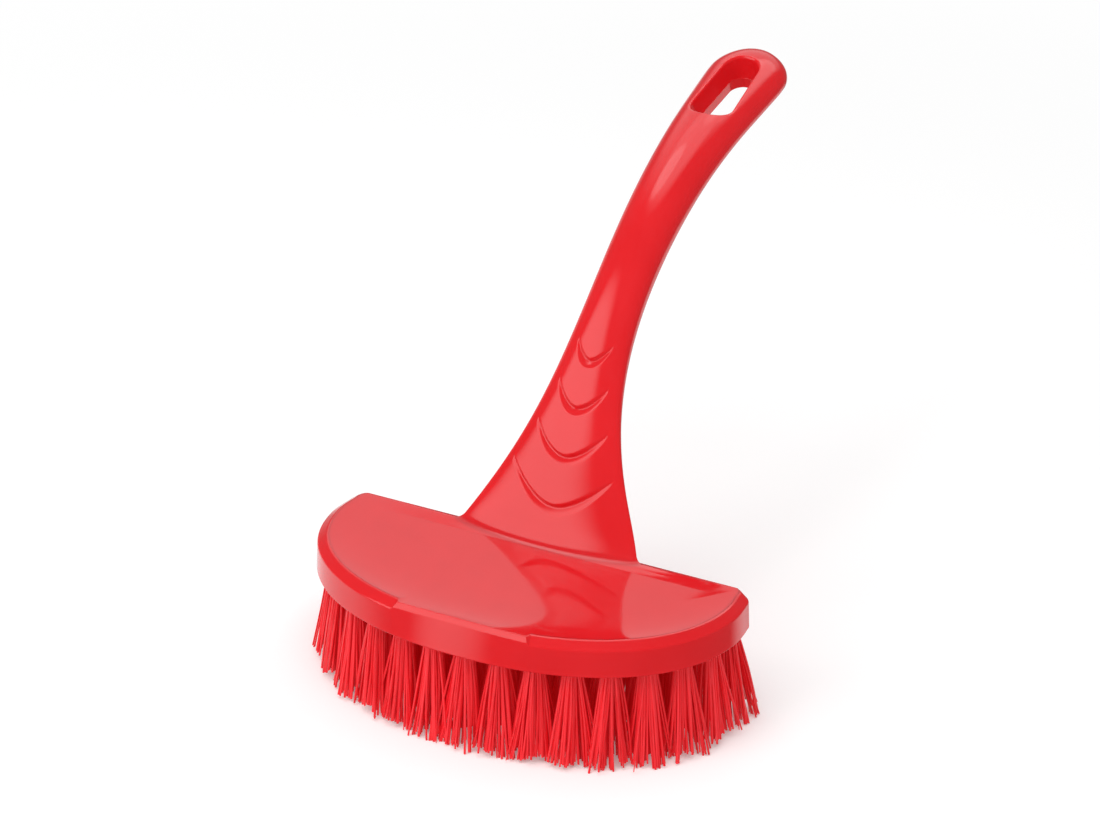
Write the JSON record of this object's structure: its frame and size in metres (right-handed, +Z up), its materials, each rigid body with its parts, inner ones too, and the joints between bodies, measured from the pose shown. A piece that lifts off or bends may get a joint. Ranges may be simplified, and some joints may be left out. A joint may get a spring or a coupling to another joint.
{
  "type": "sink brush",
  "caption": "Sink brush: rounded head with a straight rear edge, one-piece curved handle with a hanging slot, and tufts of stiff bristles seated in rows underneath.",
  "frame": {"origin": "centre of the bounding box's footprint, at the tips of the bristles, which the brush stands on", "axes": "+Z up from the bristle tips through the head, +Y towards the handle's end, X across the head"},
  "size_m": [0.1564, 0.2242, 0.1647],
  "materials": {
    "gloss_red_plastic": "smooth glossy injection-moulded red plastic",
    "red_bristle": "stiff red plastic filaments with a slight gloss"
  },
  "bodies": {
    "root": {"brush_body": "gloss_red_plastic", "tuft_row1_01": "red_bristle", "tuft_row1_02": "red_bristle", "tuft_row1_03": "red_bristle", "tuft_row1_04": "red_bristle", "tuft_row1_05": "red_bristle", "tuft_row1_06": "red_bristle", "tuft_row1_07": "red_bristle", "tuft_row1_08": "red_bristle", "tuft_row1_09": "red_bristle", "tuft_row1_10": "red_bristle", "tuft_row1_11": "red_bristle", "tuft_row1_12": "red_bristle", "tuft_row1_13": "red_bristle", "tuft_row1_14": "red_bristle", "tuft_row1_15": "red_bristle", "tuft_row1_16": "red_bristle", "tuft_row1_17": "red_bristle", "tuft_row2_01": "red_bristle", "tuft_row2_02": "red_bristle", "tuft_row2_03": "red_bristle", "tuft_row2_04": "red_bristle", "tuft_row2_05": "red_bristle", "tuft_row2_06": "red_bristle", "tuft_row2_07": "red_bristle", "tuft_row2_08": "red_bristle", "tuft_row2_09": "red_bristle", "tuft_row2_10": "red_bristle", "tuft_row2_11": "red_bristle", "tuft_row2_12": "red_bristle", "tuft_row2_13": "red_bristle", "tuft_row2_14": "red_bristle", "tuft_row3_01": "red_bristle", "tuft_row3_02": "red_bristle", "tuft_row3_03": "red_bristle", "tuft_row3_04": "red_bristle", "tuft_row3_05": "red_bristle", "tuft_row3_06": "red_bristle", "tuft_row3_07": "red_bristle", "tuft_row3_08": "red_bristle", "tuft_row3_09": "red_bristle", "tuft_row3_10": "red_bristle", "tuft_row3_11": "red_bristle", "tuft_row4_01": "red_bristle", "tuft_row4_02": "red_bristle", "tuft_row4_03": "red_bristle", "tuft_row4_04": "red_bristle", "tuft_row4_05": "red_bristle", "tuft_row4_06": "red_bristle", "tuft_row4_07": "red_bristle", "tuft_row5_01": "red_bristle", "tuft_row5_02": "red_bristle", "tuft_row5_03": "red_bristle", "tuft_row5_04": "red_bristle"}
  },
  "joints": []
}
